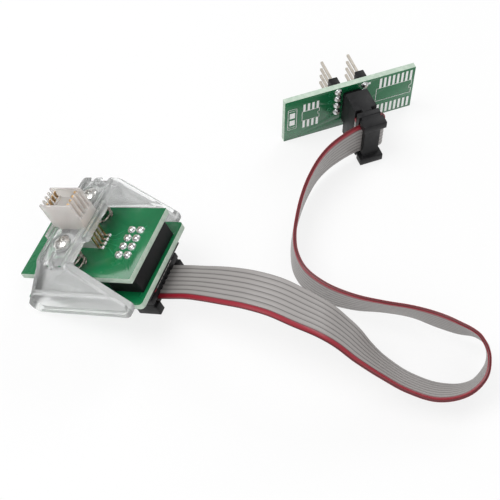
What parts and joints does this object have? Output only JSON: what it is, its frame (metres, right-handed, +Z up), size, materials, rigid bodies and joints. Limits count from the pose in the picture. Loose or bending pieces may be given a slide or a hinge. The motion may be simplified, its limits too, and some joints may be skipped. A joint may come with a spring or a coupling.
{
  "type": "ic test clip",
  "caption": "Spring-loaded test clip for a small-outline chip on a two-board stack, with a flat ribbon cable to a pin adapter board.",
  "frame": {"origin": "on the table, below the middle of the clip's own box (the ribbon and all that it carries left out)", "axes": "+Z up; +X along the clip toward its cable side; +Y across the clip, along the contact rows, toward the adapter board"},
  "size_m": [0.1124, 0.0983, 0.0314],
  "materials": {
    "board_green": "glossy solder mask",
    "steel": "bright zinc plate",
    "spring_steel": "bright drawn wire",
    "gold": "thin bright plating",
    "copper_strip": "bright",
    "solder": "bright, slightly rounded",
    "tin_pad": "tinned",
    "clear_head": "clear moulded plastic, slightly warm",
    "clear_yoke": "clear moulded plastic, slightly hazy",
    "black_plastic": "fine moulded texture",
    "ribbon_grey": "satin"
  },
  "bodies": {
    "clip_base": {"contact_board": "board_green", "base_board": "board_green", "board_spacers": "steel", "guide_screws": "steel", "lock_nuts": "steel", "spring_near": "spring_steel", "spring_far": "spring_steel", "contact_core": "clear_head", "contact_feet": "gold", "contact_solder": "solder", "box_header": "black_plastic", "box_header_pins": "gold", "box_header_solder": "solder", "near_plug_socket": "black_plastic", "near_plug_cover": "black_plastic", "near_plug_relief": "black_plastic", "near_ribbon_fold": "ribbon_grey", "ribbon_cable": "ribbon_grey", "far_plug_socket": "black_plastic", "far_plug_cover": "black_plastic", "far_plug_relief": "black_plastic", "far_ribbon_fold": "ribbon_grey", "adapter_board": "board_green", "adapter_header": "black_plastic", "adapter_header_pins": "gold", "rear_carrier_left": "black_plastic", "rear_carrier_right": "black_plastic", "rear_pins_left": "gold", "rear_pins_right": "gold", "adapter_solder": "solder", "wide_pads": "tin_pad", "narrow_pads": "tin_pad"},
    "sleeve": {"probe_head": "clear_head", "finger_yoke": "clear_yoke"},
    "contacts_left": {"contact_row_left": "copper_strip"},
    "contacts_right": {"contact_row_right": "copper_strip"}
  },
  "joints": [
    {"name": "sleeve_slide", "type": "slide", "parent": "clip_base", "child": "sleeve", "axis": [0.4067, 0, -0.9135], "range_m": [0, 0.0025], "stiffness_N_per_m": 800, "springref_m": -0.001, "deforming": ["spring_near", "spring_far"]},
    {"name": "left_contacts_open", "type": "hinge", "parent": "clip_base", "child": "contacts_left", "pos_m": [-0.00579, 0, 0.01411], "axis": [0, -1, 0], "range_deg": [0, 1.2]},
    {"name": "right_contacts_open", "type": "hinge", "parent": "clip_base", "child": "contacts_right", "pos_m": [-0.00004, 0, 0.01667], "axis": [0, 1, 0], "range_deg": [0, 1.2]}
  ],
  "couplings": [
    {"joint": "left_contacts_open", "follows": "sleeve_slide", "rad_per_m": 8.3078},
    {"joint": "right_contacts_open", "follows": "sleeve_slide", "rad_per_m": 8.3078}
  ]
}
